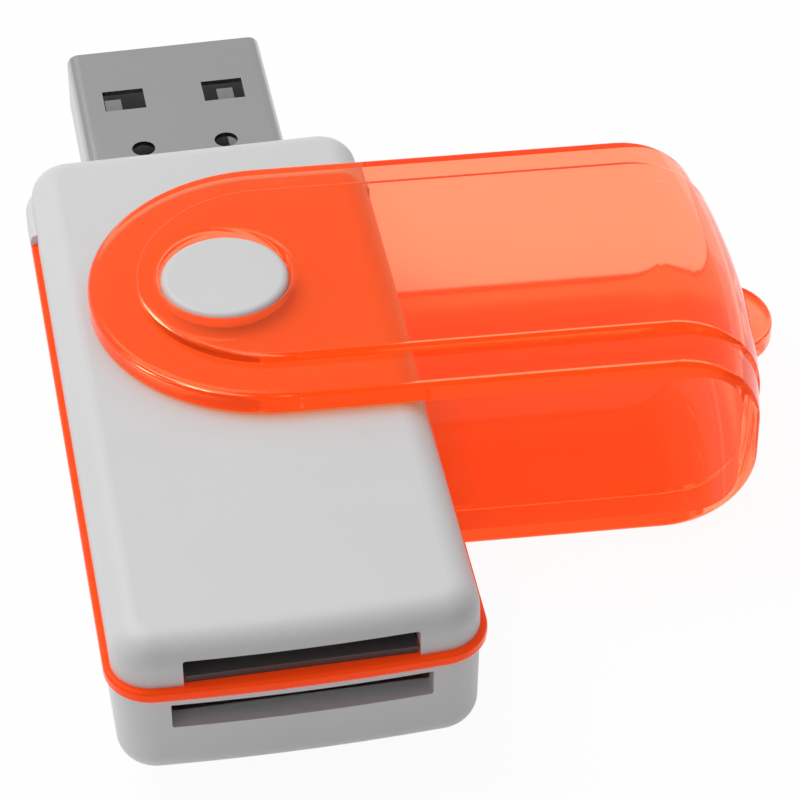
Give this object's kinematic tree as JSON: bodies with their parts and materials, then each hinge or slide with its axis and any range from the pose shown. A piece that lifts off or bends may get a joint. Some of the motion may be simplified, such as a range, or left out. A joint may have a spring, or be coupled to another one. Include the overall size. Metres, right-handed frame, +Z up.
{
  "type": "usb memory card reader",
  "caption": "Pocket card reader with a USB plug at one end, card slots at the other and a translucent U-shaped cap that swivels on the housing to cover the plug.",
  "frame": {"origin": "centre of the plug's open end, on the plug's axis", "axes": "+Y points out of the plug along its axis, +Z up through the cap's upper arm, +X towards the cap's bend at rest"},
  "size_m": [0.0416, 0.0551, 0.0135],
  "materials": {
    "shell_white": "satin moulded",
    "frame_orange": "translucent moulded",
    "cap_orange": "translucent polished",
    "plug_steel": "satin plated",
    "carrier_white": "moulded",
    "contact_gilt": "plated",
    "board_green": "solder mask",
    "chip_black": "moulded",
    "crystal_can": "plated",
    "led_lens": "clear",
    "capacitor_tan": "fired",
    "resistor_black": "fired",
    "socket_black": "moulded",
    "socket_grey": "moulded",
    "cover_steel": "plain sheet"
  },
  "bodies": {
    "reader": {"activity_led": "led_lens", "bottom_shell": "shell_white", "capacitor_1": "capacitor_tan", "capacitor_2": "capacitor_tan", "capacitor_3": "capacitor_tan", "capacitor_4": "capacitor_tan", "circuit_board": "board_green", "controller_chip": "chip_black", "crystal": "crystal_can", "lower_finger_1": "contact_gilt", "lower_finger_2": "contact_gilt", "lower_finger_3": "contact_gilt", "lower_finger_4": "contact_gilt", "lower_finger_5": "contact_gilt", "lower_finger_6": "contact_gilt", "lower_finger_7": "contact_gilt", "lower_finger_8": "contact_gilt", "lower_socket_base": "socket_grey", "lower_socket_cover": "cover_steel", "middle_frame": "frame_orange", "resistor_1": "resistor_black", "resistor_2": "resistor_black", "resistor_3": "resistor_black", "resistor_4": "resistor_black", "top_shell": "shell_white", "upper_finger_1": "contact_gilt", "upper_finger_2": "contact_gilt", "upper_finger_3": "contact_gilt", "upper_finger_4": "contact_gilt", "upper_finger_5": "contact_gilt", "upper_finger_6": "contact_gilt", "upper_finger_7": "contact_gilt", "upper_finger_8": "contact_gilt", "upper_socket_base": "socket_black", "upper_socket_cover": "cover_steel", "usb_contact_1": "contact_gilt", "usb_contact_2": "contact_gilt", "usb_contact_3": "contact_gilt", "usb_contact_4": "contact_gilt", "usb_shell": "plug_steel", "usb_tongue": "carrier_white"},
    "cap": {"swivel_cap": "cap_orange"}
  },
  "joints": [
    {"name": "cap_swivel", "type": "hinge", "parent": "reader", "child": "cap", "pos_m": [0, -0.02763, -0.00056], "axis": [0, 0, 1], "continuous": true}
  ]
}
